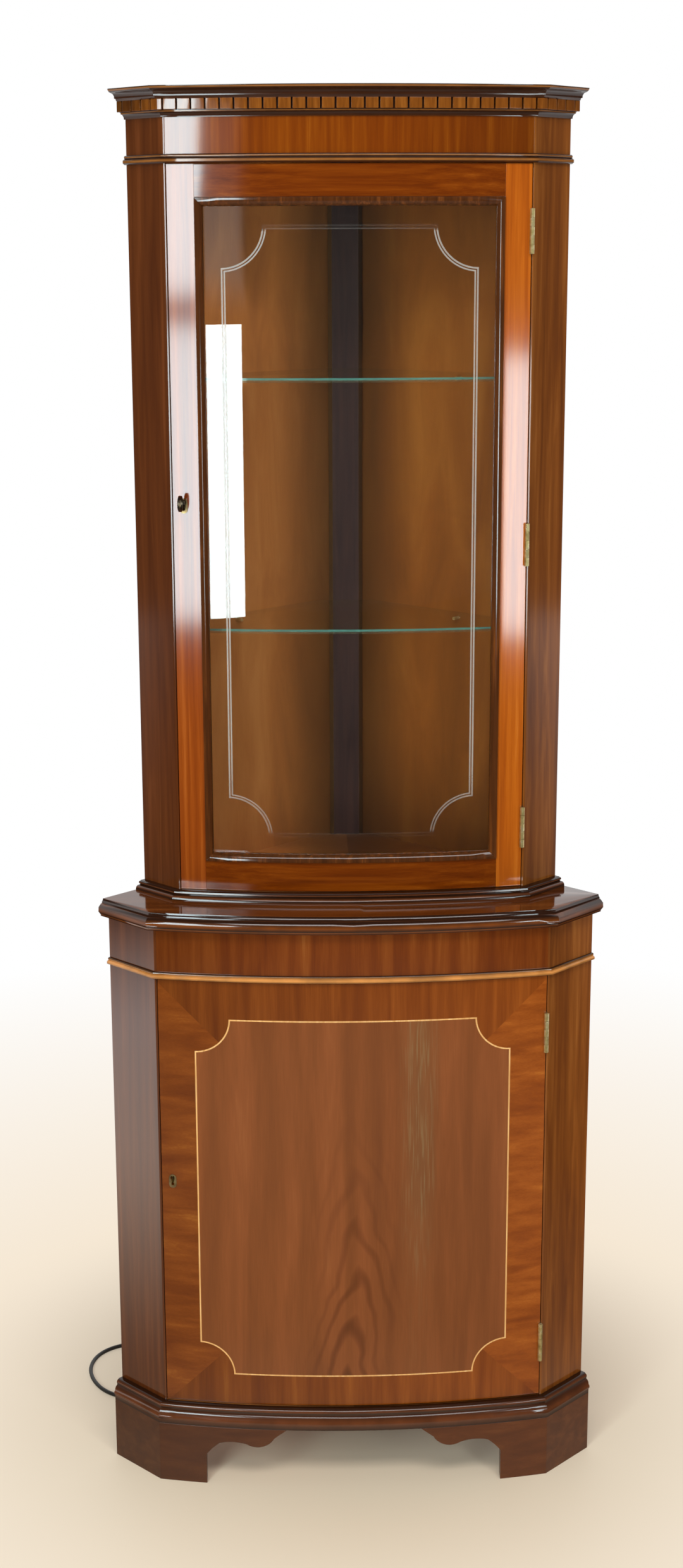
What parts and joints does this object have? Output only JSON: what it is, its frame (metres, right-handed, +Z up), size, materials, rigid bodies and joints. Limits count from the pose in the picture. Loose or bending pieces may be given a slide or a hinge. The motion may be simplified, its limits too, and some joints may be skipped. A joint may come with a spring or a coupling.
{
  "type": "corner cabinet",
  "caption": "Bow-fronted corner display cabinet: glazed upper case with glass shelves over a cupboard on bracket feet.",
  "frame": {"origin": "on the floor, under the middle of the bounding box of the cabinet without its free lead", "axes": "+X to the cabinet's right as seen from the front, +Y from the front to the back corner, +Z up"},
  "size_m": [0.7638, 0.4357, 1.925],
  "materials": {
    "mahogany": "high gloss lacquer",
    "dark_mahogany": "high gloss lacquer, worn at the edges",
    "mahogany_veneer": "figured veneer under gloss lacquer",
    "inner_wood": "satin",
    "stained_post": "satin, stained dark",
    "boxwood": "inlaid and lacquered",
    "window_glass": "polished, with an engraved line",
    "shelf_glass": "polished edges",
    "bulb_glass": "frosted",
    "lamp_plastic": "gloss",
    "clip_plastic": "matte",
    "brass": "polished, lightly tarnished",
    "key_metal": "dull plated",
    "cord_sheath": "smooth PVC",
    "plug_plastic": "moulded"
  },
  "bodies": {
    "cabinet": {"base_moulding": "dark_mahogany", "base_top_board": "dark_mahogany", "cable_clips": "clip_plastic", "cord_coil": "cord_sheath", "cord_run": "cord_sheath", "cord_tail": "cord_sheath", "cornice_moulding": "dark_mahogany", "dentil_moulding": "dark_mahogany", "dentils": "mahogany_veneer", "foot_front_left": "dark_mahogany", "foot_front_right": "dark_mahogany", "foot_side_left": "dark_mahogany", "foot_side_right": "dark_mahogany", "glass_shelf_lower": "shelf_glass", "glass_shelf_upper": "shelf_glass", "hinge_leaves_frame": "brass", "hinge_pins": "brass", "lamp_bulb": "bulb_glass", "lamp_holder": "lamp_plastic", "lamp_lead": "cord_sheath", "lower_back_left": "inner_wood", "lower_back_right": "inner_wood", "lower_bead": "dark_mahogany", "lower_bottom_board": "inner_wood", "lower_frieze": "mahogany_veneer", "lower_post": "stained_post", "lower_shelf": "inner_wood", "lower_stile_left": "mahogany", "lower_stile_right": "mahogany", "mains_plug": "plug_plastic", "rear_foot": "inner_wood", "shelf_pegs": "brass", "surbase_moulding": "dark_mahogany", "upper_back_left": "inner_wood", "upper_back_right": "inner_wood", "upper_bead": "dark_mahogany", "upper_bottom_board": "inner_wood", "upper_frieze": "mahogany_veneer", "upper_post": "stained_post", "upper_stile_left": "mahogany", "upper_stile_right": "mahogany", "upper_top_board": "inner_wood"},
    "upper_door": {"door_stile_left": "mahogany", "door_stile_right": "mahogany", "door_rail_bottom": "mahogany", "door_rail_top": "mahogany", "glazing_bead": "dark_mahogany", "glass_pane": "window_glass", "glass_fillets": "inner_wood", "upper_escutcheon": "brass", "upper_lock_case": "brass", "hinge_leaves_upper_door": "brass"},
    "upper_bolt": {"upper_lock_bolt": "brass"},
    "key": {"upper_key": "key_metal"},
    "lower_door": {"lower_door_panel": "mahogany_veneer", "lower_door_inlay": "boxwood", "lower_escutcheon": "brass", "lower_lock_case": "brass", "hinge_leaves_lower_door": "brass"},
    "lower_bolt": {"lower_lock_bolt": "brass"}
  },
  "joints": [
    {"name": "upper_door_hinge", "type": "hinge", "parent": "cabinet", "child": "upper_door", "pos_m": [0.23554, -0.10763, 1.34], "axis": [0, 0, 1], "range_deg": [0, 165]},
    {"name": "lower_door_hinge", "type": "hinge", "parent": "cabinet", "child": "lower_door", "pos_m": [0.26747, -0.171, 0.438], "axis": [0, 0, 1], "range_deg": [0, 165]},
    {"name": "key_turn", "type": "hinge", "parent": "upper_door", "child": "key", "pos_m": [-0.22104, -0.10701, 1.39902], "axis": [-0.1886, -0.9821, 0], "range_deg": [0, 360]},
    {"name": "upper_bolt_slide", "type": "slide", "parent": "upper_door", "child": "upper_bolt", "axis": [-0.9821, 0.1886, 0], "range_m": [0, 0.0065]},
    {"name": "lower_bolt_slide", "type": "slide", "parent": "lower_door", "child": "lower_bolt", "axis": [-0.9812, 0.1932, 0], "range_m": [0, 0.0065]}
  ],
  "couplings": [
    {"joint": "upper_bolt_slide", "follows": "key_turn", "m_per_rad": 0.0010344}
  ]
}
